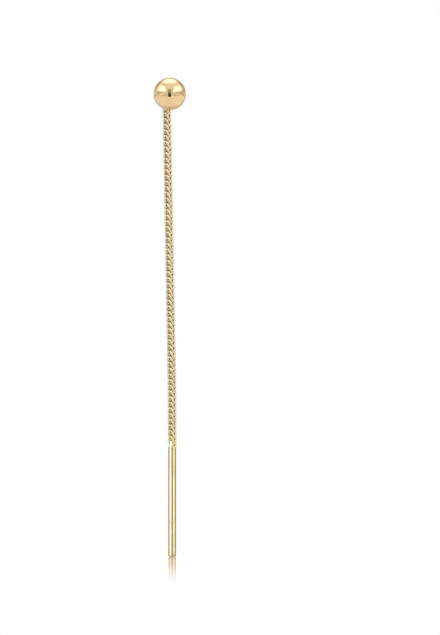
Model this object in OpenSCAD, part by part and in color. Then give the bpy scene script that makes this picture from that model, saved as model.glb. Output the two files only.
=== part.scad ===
/* [Ball] */
// Diameter of the polished ball
ball_diameter = 4; // [3:0.1:8]
// How far the ball's centre lies below the middle of the link behind it
ball_drop = 0.2; // [0:0.05:0.3]
// Angle between straight ahead of the chain and the ball
ball_turn = 9; // [0:1:40]
// Clear space between the ball and the chain behind it
ball_clearance = 0.25; // [0.15:0.05:1]
// Diameter of the peg soldered into the back of the ball
peg_diameter = 0.8; // [0.7:0.05:1.2]

/* [Chain] */
// Hanging length from the ball's end link to the bar's end link
chain_length = 42.5; // [10:0.1:80]
// Distance from one link to the next along the chain
link_pitch = 0.696; // [0.66:0.004:0.8]
// Height by which a link's loops stand above the bend that they hang on
loop_hook = 0.244; // [0.24:0.004:0.3]
// Breadth of a loop over the middles of its wire
loop_breadth = 0.86; // [0.82:0.01:0.96]
// Distance between a link's two loops over the middles of their wire
loop_spacing = 0.2; // [0.18:0.01:0.24]
// Width of a link's bend over the middles of its wire
bend_width = 0.82; // [0.78:0.01:0.96]
// Distance between the two wires of a link's bend over their middles
bend_spacing = 0.22; // [0.16:0.01:0.24]
// Thickness of a link's wire
link_wire = 0.14; // [0.08:0.005:0.14]
// Clear space round the loose links
link_gap = 0.1; // [0.1:0.01:0.2]
// Angle by which the chain is turned from the front
chain_turn = 35; // [0:5:90]
// Sideways distance from the top of the chain to its foot
chain_sway = 0.7; // [0:0.05:2]

/* [Bar] */
// How far the shoulder's rim lies below the middle of the end link
rim_drop = 0.85; // [0.75:0.01:0.95]
// Diameter of the bar that is threaded through the ear
bar_diameter = 0.97; // [0.7:0.01:1.4]
// Length of the bar below its shoulder
bar_length = 13.5; // [5:0.1:40]
// Bevel of the rim at the bar's foot
bar_bevel = 0.08; // [0.02:0.01:0.2]
// Diameter of the shoulder at its top, beside the end link
shoulder_diameter = 0.5; // [0.3:0.01:0.65]

/* [Hidden] */
$fn = 64;

GOLD = [0.93, 0.79, 0.48];
// Overshoot of a cutting solid past the face that it cuts
cut = 0.1;

// The origin is the middle of the link at the back of the ball, where the earring sits in the ear.
// The front, which the ball faces, is -Y.
ball_radius = ball_diameter / 2;
peg_radius = peg_diameter / 2;
bar_radius = bar_diameter / 2;

steps = round(chain_length / link_pitch);
link_rise = link_pitch + loop_hook;

// Each link is a ring of wire that is folded to a U. Its two loops hang on the bend of the link above.
// A quarter of it, from the bend to a loop: share of the way out, of the way apart and of the rise
link_quarter = [
    [0.35, 0, 0],
    [1, 0.15, 0.17],
    [0.3, 1, 0.76],
    [0, 0.35, 1]
];
wire_sides = 5;
rows = len(link_quarter);
function wire_point(row, out, apart) = [
    out * (loop_spacing + (bend_width - loop_spacing) * row[0]) / 2,
    apart * (bend_spacing + (loop_breadth - bend_spacing) * row[1]) / 2,
    link_rise * (row[2] - 0.5)
];
function half_link(out) = [
    for (k = [0 : 2 * rows - 1])
        wire_point(link_quarter[k < rows ? k : 2 * rows - 1 - k], out, k < rows ? out : -out)
];
link_path = concat(half_link(1), half_link(-1));
points = len(link_path);
chain_radius = max([for (p = link_path) norm([p[0], p[1]])]) + link_wire / 2;

// Wire round the path: a ring of corners at each point, square to the way that the path takes there
function unit(v) = v / norm(v);
function way_at(i) = unit(link_path[(i + 1) % points] - link_path[(i + points - 1) % points]);
function inward_at(i) = let (p = link_path[i], way = way_at(i)) unit(way * (p * way) - p);
function corner(i, k) =
    let (turn = k * 360 / wire_sides, inward = inward_at(i))
    link_path[i] + link_wire / 2 * (inward * cos(turn) + cross(way_at(i), inward) * sin(turn));
wire_corners = [for (i = [0 : points - 1], k = [0 : wire_sides - 1]) corner(i, k)];
function corner_number(i, k) = (i % points) * wire_sides + k % wire_sides;
wire_faces = [
    for (i = [0 : points - 1], k = [0 : wire_sides - 1], half = [0, 1])
        half == 0
            ? [corner_number(i, k), corner_number(i + 1, k + 1), corner_number(i, k + 1)]
            : [corner_number(i, k), corner_number(i + 1, k), corner_number(i + 1, k + 1)]
];

// Route of the chain: share of its length, then share of its sway
chain_route = [[0, 0], [0.85, 0.96], [1, 1]];
function sway_at(share) = chain_sway * lookup(share, chain_route);
function place_at(i) = [sway_at(i / steps), 0, -i * link_pitch];
function lean_at(i) =
    let (from = place_at(max(i - 1, 0)), to = place_at(min(i + 1, steps)))
    atan2(from[0] - to[0], from[2] - to[2]);

ball_reach = ball_radius + ball_clearance + chain_radius;
ball_centre = [ball_reach * sin(ball_turn), -ball_reach * cos(ball_turn), -ball_drop];
link_height = link_rise + link_wire;
bar_top = place_at(steps) - [0, 0, rim_drop];
// Room between the shoulder and the lowest loose link
shoulder_room = 0.3;
shoulder_height = rim_drop + link_pitch - link_height / 2 - shoulder_room;

// One link, about its middle
module link() {
    polyhedron(points = wire_corners, faces = wire_faces, convexity = 6);
}

// The link of that number, in its place on the route
module link_at(i) {
    translate(place_at(i))
        rotate([0, lean_at(i), 0])
            rotate([0, 0, -chain_turn])
                link();
}

// Ball, the peg in its back and the end link, whose loops are soldered into the peg's end
module ball() {
    peg_height = link_height / 2 - peg_radius;
    peg_floor = link_height / 2 - link_pitch + link_gap;
    room_radius = chain_radius + link_gap;
    color(GOLD) {
        union() {
            translate(ball_centre)
                sphere(r = ball_radius);
            difference() {
                translate([0, 0, peg_height])
                    rotate([90, 0, ball_turn])
                        translate([0, 0, -loop_breadth / 2])
                            cylinder(r = peg_radius, h = ball_reach);
                translate([0, 0, peg_floor - peg_diameter])
                    cylinder(r = room_radius, h = peg_diameter);
            }
            link_at(0);
        }
    }
}

// The links that hang loose in one another
module chain() {
    color(GOLD)
        for (i = [1 : steps - 1])
            link_at(i);
}

// Bar with a tapered shoulder on its left, beside the end link, and half a last link sunk in its rim on the right
module bar() {
    color(GOLD)
        union() {
            translate(bar_top) {
                shoulder();
                rotate([180, 0, 0]) {
                    cylinder(r = bar_radius, h = bar_length - bar_bevel);
                    translate([0, 0, bar_length - bar_bevel])
                        cylinder(r1 = bar_radius, r2 = bar_radius - bar_bevel, h = bar_bevel);
                }
            }
            difference() {
                link_at(steps + 1);
                translate(bar_top - [bar_diameter, bar_diameter, 0])
                    cube([bar_diameter, 2 * bar_diameter, 2 * link_rise]);
            }
            link_at(steps);
        }
}

// Left half of a cone that stands on the bar's rim
module shoulder() {
    difference() {
        cylinder(r1 = bar_radius, r2 = shoulder_diameter / 2, h = shoulder_height);
        translate([0, -bar_diameter, -cut])
            cube([bar_diameter, 2 * bar_diameter, shoulder_height + 2 * cut]);
    }
}

ball();
chain();
bar();
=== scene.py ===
import math

import bmesh
import bpy
from mathutils import Matrix, Vector


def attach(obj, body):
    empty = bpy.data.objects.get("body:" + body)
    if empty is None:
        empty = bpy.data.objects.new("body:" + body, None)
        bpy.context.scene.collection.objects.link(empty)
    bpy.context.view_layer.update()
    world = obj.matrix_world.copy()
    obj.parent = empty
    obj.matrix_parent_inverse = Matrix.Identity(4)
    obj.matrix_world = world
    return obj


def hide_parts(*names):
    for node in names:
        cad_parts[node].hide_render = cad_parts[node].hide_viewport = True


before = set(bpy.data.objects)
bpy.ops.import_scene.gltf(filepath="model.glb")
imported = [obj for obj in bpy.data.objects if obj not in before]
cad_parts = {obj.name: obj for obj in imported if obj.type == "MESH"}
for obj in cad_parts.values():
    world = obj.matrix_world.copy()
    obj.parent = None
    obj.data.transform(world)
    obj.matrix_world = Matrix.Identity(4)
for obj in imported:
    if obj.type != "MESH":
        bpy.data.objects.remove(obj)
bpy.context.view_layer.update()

MM = 0.001

# The photograph's frame, and where the earring lies in it. The camera is level and looks along +Y.
IMAGE_HEIGHT = 635
PIXELS_PER_MM = 8.1485
VIEW_CENTRE = Vector((6.57, 0, -27.455))
LENS = 200
SENSOR = 36
CAMERA_REACH = IMAGE_HEIGHT / PIXELS_PER_MM * LENS / SENSOR

# Ball, in mm, as in the part's source.
BALL_RADIUS = 2.0
BALL_DROP = 0.2
BALL_TURN = math.radians(9)
BALL_REACH = 2.791
BALL_SIDES = 96

# Peg in the back of the ball, in mm. Its end lies behind the chain, and its floor is flat over the next link.
PEG_RADIUS = 0.4
PEG_HEIGHT = 0.14
PEG_FLOOR = -0.056
PEG_END = 0.43
PEG_ROUND = 0.05
PEG_SINK = 0.3
PEG_SIDES = 48
ROOM_RADIUS = 0.641
# Collar of solder: how far out of the peg, and how far along it from the ball's surface.
COLLAR = ((0, -0.13), (0.03, -0.05), (0.12, 0.03))

# Chain, in mm. A link's wire is fuller and softly bent here, where the part's solids keep clear of each other.
STEPS = 61
LINK_PITCH = 0.696
LINK_WIRE = 0.3
CHAIN_TURN = math.radians(35)
CHAIN_SWAY = 0.7
CHAIN_ROUTE = ((0, 0), (0.85, 0.96), (1, 1))
# A quarter of a link's wire, from the bend that the next link hangs on up to the loop.
LINK_QUARTER = ((0, 0.11, -0.475), (0.198, 0.11, -0.475), (0.33, 0.121, -0.3135), (0.32, 0.24, -0.0475),
                (0.183, 0.37, 0.2375), (0.12, 0.266, 0.437), (0.12, 0, 0.475))

# Bar, in mm.
BAR_RADIUS = 0.485
BAR_LENGTH = 13.5
BAR_BEVEL = 0.08
BAR_ROUND = 0.1
BAR_SIDES = 64
RIM_DROP = 0.85
# Gap between a rounded edge and the ring beside it, which keeps the flat next to the edge flat.
RING_GAP = 0.01
# Rings above the foot that carry the painted contact shadow at its rim, and one below the top.
FOOT_RINGS = (BAR_BEVEL + RING_GAP, 0.15, 0.25, 0.5)
TOP_RING = 0.5

# Shoulder: how far in from the bar's radius and how high it is at its foot, and from its own radius at its top.
SHOULDER_HEIGHT = 0.7
SHOULDER_RADIUS = 0.34
SHOULDER_ROOT = 0.3
SHOULDER_FOOT = ((0.01, -SHOULDER_ROOT), (0.002, -0.08), (0.02, 0.02))
SHOULDER_TOP = ((-0.004, -0.06), (0, -0.04), (0.035, 0))
# The slanting plane between the shoulder on the left and the last link on the right.
DIVIDE_AT = (-0.04, 0, 0)
DIVIDE_NORMAL = Vector((1, 0, -0.25))

GOLD = (0.84, 0.60, 0.33)
BAR_GOLD = (0.81, 0.66, 0.39)
CHAIN_GOLD = (0.75, 0.63, 0.42)
# Painted shade in the chain's recesses.
CHAIN_PAINTED_SHADE = (0.24, 0.18, 0.095)
# Painted contact shadow at the bar's foot, and painted shade in the recesses of its end link.
BAR_PAINTED_SHADE = (0.6, 0.47, 0.27)
# Paler gold on the shoulder, which paints a highlight there.
PAINTED_HIGHLIGHT_GOLD = (0.88, 0.78, 0.58)
EDGE_GOLD = (0.84, 0.74, 0.5)
WHITE = (1, 1, 1)

# Gold's soft clouds and fine marks: sizes as counts in a metre, and the lowest and highest tint.
CLOUD_SCALE = 900
CLOUD_TINTS = (0.965, 1.03)
RUB_SCALE = 9000
RUB_STRETCH = (1, 1, 0.12)
RUB_TURN = (0.5, 0.3, 0)
MARK_DEPTH = 0.00001

# Table, in metres: how far it lies below the bar, its half size, and where its gloss runs and fades.
TABLE_DROP = 0.00002
TABLE_SIZE = 2.0
GLOSS_EDGES = ((BAR_RADIUS + 0.3) * MM, (BAR_RADIUS + 0.02) * MM)
GLOSS_FADE = (-0.047, -0.004)
GLOSS_BACK = (0.006, 0.002)
GLOSS_SHARE = 0.76
GLOSS_FACING = (0.6, 0.9)
GLOSS_TINT = (1, 0.88, 0.74)
GLOSS_ROUGHNESS = 0.03


# Shapes

def sway_at(share):
    """How far to the side the chain lies, at a share of its length."""
    for (s0, w0), (s1, w1) in zip(CHAIN_ROUTE, CHAIN_ROUTE[1:]):
        if share <= s1:
            return CHAIN_SWAY * (w0 + (w1 - w0) * (share - s0) / (s1 - s0))
    return CHAIN_SWAY


def place_at(i):
    """The middle of the link of that number."""
    return Vector((sway_at(i / STEPS), 0, -i * LINK_PITCH))


def bar_top():
    """The middle of the bar's rim, under the lower end link."""
    return place_at(STEPS) - Vector((0, 0, RIM_DROP))


def link_matrix(i):
    """A link's place, its lean along the chain and the chain's turn."""
    above, below = place_at(max(i - 1, 0)), place_at(min(i + 1, STEPS))
    lean = math.atan2(above.x - below.x, above.z - below.z)
    return Matrix.Translation(place_at(i)) @ Matrix.Rotation(lean, 4, "Y") @ Matrix.Rotation(-CHAIN_TURN, 4, "Z")


def link_form():
    """One link: a ring of round wire folded to a U, with its two loops on top and its bend below."""
    front = list(LINK_QUARTER)
    right = front + [(x, -y, z) for x, y, z in reversed(front[:-1])]
    path = right[:-1] + [(-x, -y, z) for x, y, z in right[:-1]]
    curve = bpy.data.curves.new("link_form", "CURVE")
    curve.dimensions = "3D"
    curve.bevel_depth = LINK_WIRE / 2
    curve.bevel_resolution = 2
    curve.resolution_u = 3
    spline = curve.splines.new("BEZIER")
    spline.bezier_points.add(len(path) - 1)
    for point, place in zip(spline.bezier_points, path):
        point.co = place
        point.handle_left_type = point.handle_right_type = "AUTO"
    spline.use_cyclic_u = True
    wire = bpy.data.objects.new("link_form", curve)
    bpy.context.scene.collection.objects.link(wire)
    mesh = bpy.data.meshes.new_from_object(wire.evaluated_get(bpy.context.evaluated_depsgraph_get()))
    bpy.data.objects.remove(wire)
    for face in mesh.polygons:
        face.use_smooth = True
    return mesh


def turned_form(name, profile, sides):
    """A solid of revolution about Z: an open line of (radius, height) pairs, spun and closed at its poles."""
    bm = bmesh.new()
    verts = [bm.verts.new((max(r, 0), 0, z)) for r, z in profile]
    edges = [bm.edges.new(pair) for pair in zip(verts, verts[1:])]
    bmesh.ops.spin(bm, geom=verts + edges, cent=(0, 0, 0), axis=(0, 0, 1), angle=math.tau, steps=sides,
                   use_merge=True)
    bmesh.ops.remove_doubles(bm, verts=bm.verts, dist=1e-5)
    bmesh.ops.recalc_face_normals(bm, faces=bm.faces)
    for face in bm.faces:
        face.smooth = True
    mesh = bpy.data.meshes.new(name)
    bm.to_mesh(mesh)
    bm.free()
    return mesh


def arc(centre_r, centre_z, radius, start, end, count):
    """Points of an arc in the plane of a profile, its angles from the outward direction up, in degrees."""
    points = []
    for k in range(count + 1):
        a = math.radians(start + (end - start) * k / count)
        points.append((centre_r + radius * math.cos(a), centre_z + radius * math.sin(a)))
    return points


def cut_away(bm, place, normal):
    """Cuts a closed form by a plane, takes away the side that the normal points to, and closes the cut."""
    geom = bm.verts[:] + bm.edges[:] + bm.faces[:]
    bmesh.ops.bisect_plane(bm, geom=geom, plane_co=place, plane_no=normal, clear_outer=True)
    rims = [e for e in bm.edges if e.is_boundary]
    bmesh.ops.holes_fill(bm, edges=rims, sides=0)
    for edge in rims:
        edge.smooth = False


def cut_form(form, matrix, *planes):
    """A copy of a closed form in its place, cut by planes and closed again."""
    bm = bmesh.new()
    bm.from_mesh(form)
    bmesh.ops.transform(bm, matrix=matrix, verts=bm.verts)
    for place, normal in planes:
        cut_away(bm, place, normal)
    bmesh.ops.recalc_face_normals(bm, faces=bm.faces)
    mesh = bpy.data.meshes.new(form.name)
    bm.to_mesh(mesh)
    bm.free()
    return mesh


def add_form(bm, form, matrix=Matrix.Identity(4)):
    """Puts a copy of a form into a mesh, at its own place."""
    known = set(bm.verts)
    bm.from_mesh(form)
    bmesh.ops.transform(bm, matrix=matrix, verts=[v for v in bm.verts if v not in known])


def finish_piece(bm, name, material, node):
    """Turns a mesh in mm into a finished piece in metres, which stands for a CAD node."""
    bmesh.ops.scale(bm, vec=(MM, MM, MM), verts=bm.verts)
    mesh = bpy.data.meshes.new(name)
    bm.to_mesh(mesh)
    bm.free()
    mesh.materials.append(material)
    piece = bpy.data.objects.new(name, mesh)
    bpy.context.scene.collection.objects.link(piece)
    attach(piece, "root")
    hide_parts(node)
    return piece


# Materials

def math_node(tree, operation, *values):
    """The result of a sum of values, each a number or another node's output."""
    node = tree.nodes.new("ShaderNodeMath")
    node.operation = operation
    for socket, value in zip(node.inputs, values):
        if isinstance(value, (int, float)):
            socket.default_value = value
        else:
            tree.links.new(value, socket)
    return node.outputs[0]


def range_node(tree, value, start, end, low, high):
    """Runs from low to high as the value runs from start to end."""
    node = tree.nodes.new("ShaderNodeMapRange")
    tree.links.new(value, node.inputs["Value"])
    node.inputs["From Min"].default_value = start
    node.inputs["From Max"].default_value = end
    node.inputs["To Min"].default_value = low
    node.inputs["To Max"].default_value = high
    return node


def smooth_node(tree, value, start, end, low=0, high=1):
    """The same with a soft start and end."""
    node = range_node(tree, value, start, end, low, high)
    node.interpolation_type = "SMOOTHSTEP"
    return node.outputs["Result"]


def noise_node(tree, vector, scale, detail):
    node = tree.nodes.new("ShaderNodeTexNoise")
    node.inputs["Scale"].default_value = scale
    node.inputs["Detail"].default_value = detail
    tree.links.new(vector, node.inputs["Vector"])
    return node.outputs["Fac"]


def gold_material(name, colour, low, high, marks, shades=(), edge=WHITE):
    """Polished gold: the tint and the polish vary softly and fine marks break the gloss.

    Low and high are its least and its greatest roughness. Each shade is another colour, the piece's attribute that
    places it, and the readings where it starts and is full. The edge tints what a slanting look finds.
    """
    material = bpy.data.materials.new(name)
    material.use_nodes = True
    tree = material.node_tree
    nodes, links = tree.nodes, tree.links
    shader = nodes["Principled BSDF"]
    shader.inputs["Metallic"].default_value = 1.0
    shader.inputs["Specular Tint"].default_value = (*edge, 1)
    coords = nodes.new("ShaderNodeTexCoord")

    tint = nodes.new("ShaderNodeValToRGB")
    for element, position, share in zip(tint.color_ramp.elements, (0.35, 0.65), CLOUD_TINTS):
        element.position = position
        element.color = (*[min(c * share, 1) for c in colour], 1)
    links.new(noise_node(tree, coords.outputs["Object"], CLOUD_SCALE, 3), tint.inputs["Fac"])
    metal = tint.outputs["Color"]
    for shade, attribute, start, full in shades:
        reading = nodes.new("ShaderNodeAttribute")
        reading.attribute_name = attribute
        mix = nodes.new("ShaderNodeMix")
        mix.data_type = "RGBA"
        links.new(smooth_node(tree, reading.outputs["Fac"], start, full), mix.inputs["Factor"])
        links.new(metal, mix.inputs["A"])
        mix.inputs["B"].default_value = (*shade, 1)
        metal = mix.outputs["Result"]
    links.new(metal, shader.inputs["Base Color"])

    stretch = nodes.new("ShaderNodeMapping")
    stretch.inputs["Scale"].default_value = RUB_STRETCH
    stretch.inputs["Rotation"].default_value = RUB_TURN
    links.new(coords.outputs["Object"], stretch.inputs["Vector"])
    rub = noise_node(tree, stretch.outputs["Vector"], RUB_SCALE, 4)
    links.new(range_node(tree, rub, 0.3, 0.7, low, high).outputs["Result"], shader.inputs["Roughness"])
    bump = nodes.new("ShaderNodeBump")
    bump.inputs["Strength"].default_value = marks
    bump.inputs["Distance"].default_value = MARK_DEPTH
    links.new(rub, bump.inputs["Height"])
    links.new(bump.outputs["Normal"], shader.inputs["Normal"])
    return material


polished_gold = gold_material("polished_gold", GOLD, 0.05, 0.09, 0.03)
bar_gold = gold_material("bar_gold", BAR_GOLD, 0.05, 0.09, 0.03, (
    # Painted contact shadow near the foot, and painted shade in the end link's recesses.
    (BAR_PAINTED_SHADE, "reach", 0.32, 0.16),
    # Paler gold on the shoulder: a painted highlight.
    (PAINTED_HIGHLIGHT_GOLD, "painted_highlight", 0, 1),
), EDGE_GOLD)
chain_gold = gold_material("chain_gold", CHAIN_GOLD, 0.12, 0.2, 0.1, (
    # Painted shade in the recesses, darker towards the chain's middle.
    (CHAIN_PAINTED_SHADE, "reach", 0.39, 0.14),
))


# Ball with its peg and end link

def peg_form(profile, *planes):
    """A length of the peg, which points from behind the chain to the ball, in the chain's own place."""
    aim = (Matrix.Translation((0, 0, PEG_HEIGHT)) @ Matrix.Rotation(BALL_TURN, 4, "Z")
           @ Matrix.Rotation(math.radians(90), 4, "X"))
    return cut_form(turned_form("peg_form", profile, PEG_SIDES), aim, *planes)


def peg_end():
    """The peg's rounded end, over the chain, with a flat floor above the first loose link."""
    soft = PEG_ROUND * 0.3
    profile = [(0, -PEG_END), (PEG_RADIUS - PEG_ROUND, -PEG_END), (PEG_RADIUS - soft, -PEG_END + soft)]
    profile += [(PEG_RADIUS, -PEG_END + PEG_ROUND), (PEG_RADIUS, ROOM_RADIUS), (0, ROOM_RADIUS)]
    return peg_form(profile, ((0, 0, PEG_FLOOR), (0, 0, -1)))


def peg_neck():
    """The whole round of the peg from the chain into the ball, with a soldered collar at the ball."""
    surface = BALL_REACH - math.sqrt(BALL_RADIUS ** 2 - (PEG_HEIGHT + BALL_DROP) ** 2)
    end = BALL_REACH - BALL_RADIUS + PEG_SINK
    collar = [(PEG_RADIUS + out, surface + along) for out, along in COLLAR]
    profile = [(0, ROOM_RADIUS), (PEG_RADIUS, ROOM_RADIUS)] + collar + [(collar[-1][0], end), (0, end)]
    return peg_form(profile)


def ball_form():
    profile = [(0, -BALL_RADIUS)] + arc(0, 0, BALL_RADIUS, -88, 88, 60) + [(0, BALL_RADIUS)]
    return turned_form("ball_form", profile, BALL_SIDES)


def ball_piece():
    centre = Vector((BALL_REACH * math.sin(BALL_TURN), -BALL_REACH * math.cos(BALL_TURN), -BALL_DROP))
    bm = bmesh.new()
    add_form(bm, ball_form(), Matrix.Translation(centre))
    add_form(bm, peg_end())
    add_form(bm, peg_neck())
    add_form(bm, link, link_matrix(0))
    return finish_piece(bm, "polished_ball", polished_gold, "ball")


# Chain

def chain_piece():
    bm = bmesh.new()
    for i in range(1, STEPS):
        add_form(bm, link, link_matrix(i))
    # How far each point of the wire lies from the middle of the chain, for the painted shade in its recesses.
    reach = bm.verts.layers.float.new("reach")
    for v in bm.verts:
        v[reach] = math.hypot(v.co.x - sway_at(-v.co.z / (STEPS * LINK_PITCH)), v.co.y)
    return finish_piece(bm, "loop_chain", chain_gold, "chain")


# Bar with its shoulder, half a last link and end link

def bar_form():
    """The plain bar under its rim, which lies at the origin."""
    foot = -BAR_LENGTH
    inner_foot, inner_top = BAR_RADIUS - BAR_BEVEL, BAR_RADIUS - BAR_ROUND
    profile = [(0, foot), (inner_foot - RING_GAP, foot)]
    profile += arc(inner_foot, foot + BAR_BEVEL, BAR_BEVEL, -90, 0, 6)
    profile += [(BAR_RADIUS, foot + z) for z in FOOT_RINGS]
    profile += [(BAR_RADIUS, -TOP_RING), (BAR_RADIUS, -BAR_ROUND - RING_GAP)]
    profile += arc(inner_top, -BAR_ROUND, BAR_ROUND, 0, 90, 6)
    profile += [(inner_top - RING_GAP, 0), (0, 0)]
    return turned_form("bar_form", profile, BAR_SIDES)


def shoulder_form():
    """A cone that stands in the bar's rim, with soft edges, of which the left half is kept."""
    profile = [(0, -SHOULDER_ROOT)] + [(BAR_RADIUS - inwards, z) for inwards, z in SHOULDER_FOOT]
    profile += [(SHOULDER_RADIUS - inwards, SHOULDER_HEIGHT + z) for inwards, z in SHOULDER_TOP]
    profile += [(0, SHOULDER_HEIGHT)]
    cone = turned_form("shoulder_form", profile, BAR_SIDES)
    return cut_form(cone, Matrix.Identity(4), (DIVIDE_AT, DIVIDE_NORMAL))


def last_link_form():
    """The right half of one more link, which is sunk in the rim."""
    last = Matrix.Translation((0, 0, RIM_DROP - LINK_PITCH)) @ Matrix.Rotation(-CHAIN_TURN, 4, "Z")
    return cut_form(link, last, (DIVIDE_AT, -DIVIDE_NORMAL))


def bar_piece():
    bm = bmesh.new()
    bm.from_mesh(bar_form())
    bar_points = len(bm.verts)
    add_form(bm, shoulder_form())
    shoulder_points = len(bm.verts)
    add_form(bm, last_link_form())
    bmesh.ops.transform(bm, matrix=Matrix.Translation(bar_top()), verts=bm.verts)
    rigid_points = len(bm.verts)
    add_form(bm, link, link_matrix(STEPS))
    # How far each point lies above the foot, for the painted contact shadow at its rim, and in the end link from the
    # chain's middle, for painted shade in its recesses.
    reach = bm.verts.layers.float.new("reach")
    foot = bar_top().z - BAR_LENGTH
    # Marks the shoulder for the paler gold of its painted highlight.
    painted_highlight = bm.verts.layers.float.new("painted_highlight")
    for k, v in enumerate(bm.verts):
        v[reach] = v.co.z - foot if k < rigid_points else math.hypot(v.co.x - CHAIN_SWAY, v.co.y)
        v[painted_highlight] = 1 if bar_points <= k < shoulder_points else 0
    return finish_piece(bm, "threader_bar", bar_gold, "bar")


link = link_form()
ball_piece()
chain_piece()
bar_piece()


# Studio

class Studio:
    """The soft light round the earring, painted over the world's directions one layer at a time."""

    def __init__(self, strength):
        self.world = bpy.data.worlds.new("studio")
        bpy.context.scene.world = self.world
        self.world.use_nodes = True
        self.nodes, self.links = self.world.node_tree.nodes, self.world.node_tree.links
        self.nodes.clear()
        self.ray = self.nodes.new("ShaderNodeTexCoord").outputs["Generated"]
        x, y, z = (self.dot(axis) for axis in ((1, 0, 0), (0, -1, 0), (0, 0, 1)))
        # Degrees to the right of straight in front, degrees to either side, and degrees above the horizon.
        self.side = self.math("MULTIPLY", self.math("ARCTAN2", x, y), 180 / math.pi)
        self.away = self.math("ABSOLUTE", self.side)
        self.height = self.math("MULTIPLY", self.math("ARCSINE", z), 180 / math.pi)
        self.total = strength

    def dot(self, vector):
        """How far the look goes along a direction."""
        node = self.nodes.new("ShaderNodeVectorMath")
        node.operation = "DOT_PRODUCT"
        self.links.new(self.ray, node.inputs[0])
        node.inputs[1].default_value = vector
        return node.outputs["Value"]

    def math(self, operation, *values):
        return math_node(self.world.node_tree, operation, *values)

    def smooth(self, value, start, end, low=0, high=1):
        return smooth_node(self.world.node_tree, value, start, end, low, high)

    def span(self, value, start, end, soft):
        """One between start and end, and softly down to nothing outside them."""
        return self.both(self.smooth(value, start - soft, start), self.smooth(value, end + soft, end))

    def both(self, *masks):
        """Where all the masks are."""
        mask = masks[0]
        for other in masks[1:]:
            mask = self.math("MULTIPLY", mask, other)
        return mask

    def panel(self, elevation, half_width, half_height, soft):
        """A soft-edged rectangle straight in front at an elevation, its half sizes as tangents."""
        e = math.radians(elevation)
        depth = self.math("MAXIMUM", self.dot((0, -math.cos(e), math.sin(e))), 0.001)
        x = self.math("ABSOLUTE", self.math("DIVIDE", self.dot((1, 0, 0)), depth))
        y = self.math("ABSOLUTE", self.math("DIVIDE", self.dot((0, math.sin(e), math.cos(e))), depth))
        return self.both(self.smooth(x, half_width + soft, half_width), self.smooth(y, half_height + soft, half_height))

    def layer(self, strength, *masks):
        """Paints a strength over what is there, where the masks are."""
        change = self.math("SUBTRACT", strength, self.total)
        self.total = self.math("ADD", self.total, self.math("MULTIPLY", self.both(*masks), change))

    def background(self, strength):
        """White light of a strength, which is a number or a node's output."""
        node = self.nodes.new("ShaderNodeBackground")
        node.inputs["Color"].default_value = (*WHITE, 1)
        if isinstance(strength, (int, float)):
            node.inputs["Strength"].default_value = strength
        else:
            self.links.new(strength, node.inputs["Strength"])
        return node.outputs[0]

    def close(self):
        """Lights the scene with the layers, behind which the camera itself sees plain white."""
        path = self.nodes.new("ShaderNodeLightPath")
        mix = self.nodes.new("ShaderNodeMixShader")
        self.links.new(path.outputs["Is Camera Ray"], mix.inputs[0])
        self.links.new(self.background(self.total), mix.inputs[1])
        self.links.new(self.background(1), mix.inputs[2])
        output = self.nodes.new("ShaderNodeOutputWorld")
        self.links.new(mix.outputs[0], output.inputs["Surface"])


# Strengths of the light, where 1 is the white of the background. All angles below are in degrees.
CEILING = 0.95
LOW_WALL, FRONT_WALL, LEFT_WALL = 0.62, 0.85, 0.82
SIDE_LIGHT, TOP_LIGHT = 2.1, 2.15
TABLE, PAPER = 1.0, 1.4
GAP_FOOT, GAP_HEAD = 0.03, 0.42
BACK_ROOM, BACK_UPPER, BACK_FLOOR = 0.66, 0.55, 0.72
STRIP_LEFT, STRIP_RIGHT, STRIP_BACK = 2.3, 1.4, 0.34
STRIP_MIDDLE, STRIP_EDGE = 0.3, 0.6
COPY_LIGHT, COPY_MIDDLE = 1.5, 0.65

studio = Studio(CEILING)
height, side, away = studio.height, studio.side, studio.away
# A dimmer wall under the side lights, and the walls on either side of the gap in front.
studio.layer(LOW_WALL, studio.smooth(height, 22, 8))
studio.layer(FRONT_WALL, studio.span(away, 0, 24, 8), studio.span(height, -30, 30, 14))
# Two side lights, whose inner edges lean outwards and whose feet rise to the sides, and one overhead.
inner = studio.math("SUBTRACT", away, studio.math("MULTIPLY", height, 0.45))
under = studio.math("SUBTRACT", height, studio.math("MULTIPLY", away, 0.09))
glow = studio.both(studio.smooth(inner, 14, 26), studio.smooth(away, 120, 80))
studio.layer(SIDE_LIGHT, glow, studio.smooth(under, 1, 19), studio.smooth(height, 53, 37))
studio.layer(TOP_LIGHT, studio.panel(104, 0.12, 0.05, 0.6))
# The table, whose edge lies lower in front than at the sides.
edge = studio.math("ADD", studio.math("MULTIPLY", away, 0.2), -23)
studio.layer(TABLE, studio.smooth(studio.math("SUBTRACT", height, edge), 3, -3))
# The dark gap in front that the camera looks through.
gap = studio.smooth(height, -6, 20, GAP_FOOT, GAP_HEAD)
studio.layer(gap, studio.span(away, 0, 9, 2), studio.span(height, -23, 29, 2))
# Dim room behind, with the white paper behind the earring low in its middle.
studio.layer(BACK_ROOM, studio.smooth(away, 128, 150), studio.span(height, -35, 33, 15))
studio.layer(BACK_UPPER, studio.span(away, 122, 150, 12), studio.span(height, 14, 42, 8))
studio.layer(LEFT_WALL, studio.smooth(side, -90, -110), studio.span(height, -8, 12, 6))
studio.layer(BACK_FLOOR, studio.panel(-130, 0.3, 0.3, 0.4))
studio.layer(PAPER, studio.smooth(away, 168, 171), studio.span(height, 0, 9, 2))
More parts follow.
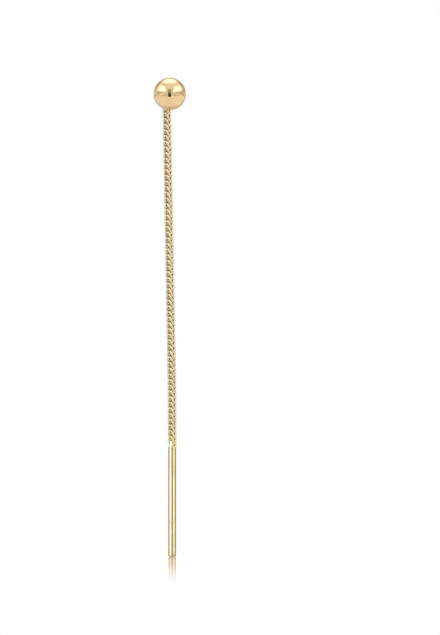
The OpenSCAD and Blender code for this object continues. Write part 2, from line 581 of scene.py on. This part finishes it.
# The far strip of the table, bright beside the lights' feet, which the bar mirrors.
strip = studio.span(height, -4.0, -2.0, 0.25)
studio.layer(STRIP_LEFT, strip, studio.span(side, -68, -38, 16))
studio.layer(STRIP_RIGHT, strip, studio.span(side, 34, 74, 10))
studio.layer(STRIP_BACK, strip, studio.smooth(away, 88, 106))
studio.layer(studio.smooth(away, 9, 12, STRIP_MIDDLE, STRIP_EDGE), strip, studio.span(away, 0, 18, 8))
# The bar's mirrored copy in the table finds the same lights from below.
copy = studio.span(height, 3.7, 4.5, 0.3)
studio.layer(COPY_LIGHT, copy, studio.span(away, 38, 68, 14))
studio.layer(COPY_MIDDLE, copy, studio.span(away, 0, 14, 6))
studio.close()


# Table and camera

def table_material():
    """White table. It mirrors the bar in a narrow strip that runs towards the camera and fades in a few centimetres."""
    material = bpy.data.materials.new("white_table")
    material.use_nodes = True
    tree = material.node_tree
    nodes, links = tree.nodes, tree.links
    nodes.clear()
    coords = nodes.new("ShaderNodeTexCoord")
    place = nodes.new("ShaderNodeSeparateXYZ")
    links.new(coords.outputs["Object"], place.inputs[0])
    x, y = place.outputs["X"], place.outputs["Y"]
    foot = bar_top().x
    # Distance from the line between the bar's foot and the camera.
    aside = math_node(tree, "ADD", x, math_node(tree, "MULTIPLY", y, (VIEW_CENTRE.x - foot) / CAMERA_REACH))
    aside = math_node(tree, "ABSOLUTE", math_node(tree, "SUBTRACT", aside, foot * MM))
    share = smooth_node(tree, aside, *GLOSS_EDGES)
    share = math_node(tree, "MULTIPLY", share, smooth_node(tree, y, *GLOSS_FADE, 0, GLOSS_SHARE))
    share = math_node(tree, "MULTIPLY", share, smooth_node(tree, y, *GLOSS_BACK))
    # Only a low look over the table finds its gloss.
    weight = nodes.new("ShaderNodeLayerWeight")
    share = math_node(tree, "MULTIPLY", share, smooth_node(tree, weight.outputs["Facing"], *GLOSS_FACING))
    white = nodes.new("ShaderNodeEmission")
    white.inputs["Color"].default_value = (*WHITE, 1)
    gloss = nodes.new("ShaderNodeBsdfGlossy")
    gloss.inputs["Color"].default_value = (*GLOSS_TINT, 1)
    gloss.inputs["Roughness"].default_value = GLOSS_ROUGHNESS
    mix = nodes.new("ShaderNodeMixShader")
    links.new(share, mix.inputs[0])
    links.new(white.outputs[0], mix.inputs[1])
    links.new(gloss.outputs[0], mix.inputs[2])
    output = nodes.new("ShaderNodeOutputMaterial")
    links.new(mix.outputs[0], output.inputs["Surface"])
    return material


def table():
    bm = bmesh.new()
    bmesh.ops.create_grid(bm, x_segments=1, y_segments=1, size=TABLE_SIZE)
    level = (bar_top().z - BAR_LENGTH) * MM - TABLE_DROP
    bmesh.ops.translate(bm, vec=(0, 0, level), verts=bm.verts)
    mesh = bpy.data.meshes.new("white_table")
    bm.to_mesh(mesh)
    bm.free()
    mesh.materials.append(table_material())
    top = bpy.data.objects.new("white_table", mesh)
    bpy.context.scene.collection.objects.link(top)
    top.visible_glossy = False


def camera():
    data = bpy.data.cameras.new("camera")
    data.lens = LENS
    data.sensor_width = SENSOR
    data.clip_start = 0.01
    rig = bpy.data.objects.new("camera", data)
    bpy.context.scene.collection.objects.link(rig)
    towards = Vector((0, 1, 0))
    rig.location = (VIEW_CENTRE - towards * CAMERA_REACH) * MM
    rig.rotation_euler = towards.to_track_quat("-Z", "Y").to_euler()
    bpy.context.scene.camera = rig


table()
camera()
bpy.context.scene.view_settings.view_transform = "Standard"
